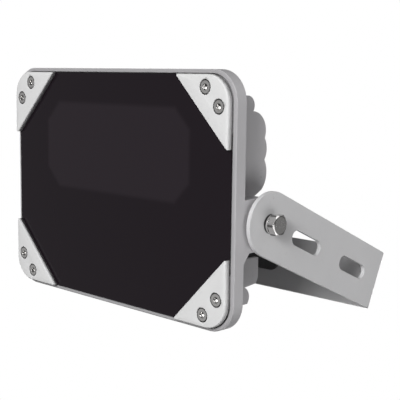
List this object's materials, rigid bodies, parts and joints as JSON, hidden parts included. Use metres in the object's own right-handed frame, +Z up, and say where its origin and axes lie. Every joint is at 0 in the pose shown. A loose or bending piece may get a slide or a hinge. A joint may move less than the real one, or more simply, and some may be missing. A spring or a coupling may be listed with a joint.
{
  "type": "infrared illuminator",
  "caption": "Wall-mounted infrared floodlight: dark window in a finned cast head, held by corner clamps and tilting in a U bracket.",
  "frame": {"origin": "centre of the bracket's wall face, in the plane of the wall", "axes": "+X to the right seen from the front, +Y into the wall, +Z up; the head stands out towards -Y"},
  "size_m": [0.2008, 0.159, 0.1211],
  "materials": {
    "casting": "satin light grey paint on die-cast aluminium",
    "bracket_paint": "satin light grey paint on steel sheet",
    "clamp_paint": "satin light grey paint on aluminium plate",
    "stainless": "bright stainless steel",
    "zinc_steel": "zinc plated",
    "dark_window": "polished, passes infrared only",
    "black_rubber": "matt",
    "clear_plastic": "clear moulding",
    "circuit_board": "solder mask",
    "thermal_pad": "matt",
    "emitter": "clear dome on a ceramic body",
    "black_plastic": "matt",
    "green_plastic": "matt",
    "white_plastic": "matt",
    "aluminium_can": "bright",
    "flat_cable": "smooth"
  },
  "bodies": {
    "bracket": {"bracket": "bracket_paint", "base_plug": "black_rubber"},
    "head": {"housing": "casting", "window_gasket": "black_rubber", "window": "dark_window", "corner_clamp_top_left": "clamp_paint", "corner_clamp_top_right": "clamp_paint", "corner_clamp_bottom_left": "clamp_paint", "corner_clamp_bottom_right": "clamp_paint", "clamp_screws": "stainless", "lens_plate": "clear_plastic", "led_board": "circuit_board", "thermal_pad": "thermal_pad", "led_emitters": "emitter", "led_board_screws": "zinc_steel", "driver_screws": "zinc_steel", "driver_board": "circuit_board", "driver_coil": "black_plastic", "driver_capacitors": "aluminium_can", "driver_controller": "black_plastic", "daylight_sensor": "black_plastic", "terminal_block": "green_plastic", "board_link": "flat_cable", "gland_ring": "black_rubber", "gland_body": "black_plastic", "gland_locknut": "black_plastic", "gland_seal": "black_rubber", "gland_nut": "black_plastic", "vent_plug": "black_plastic", "pivot_bolts": "stainless", "spring_washers": "stainless", "friction_washers": "white_plastic"}
  },
  "joints": [
    {"name": "tilt", "type": "hinge", "parent": "bracket", "child": "head", "pos_m": [0, -0.1057, 0], "axis": [1, 0, 0], "range_deg": [-114.3, 65.7]}
  ]
}
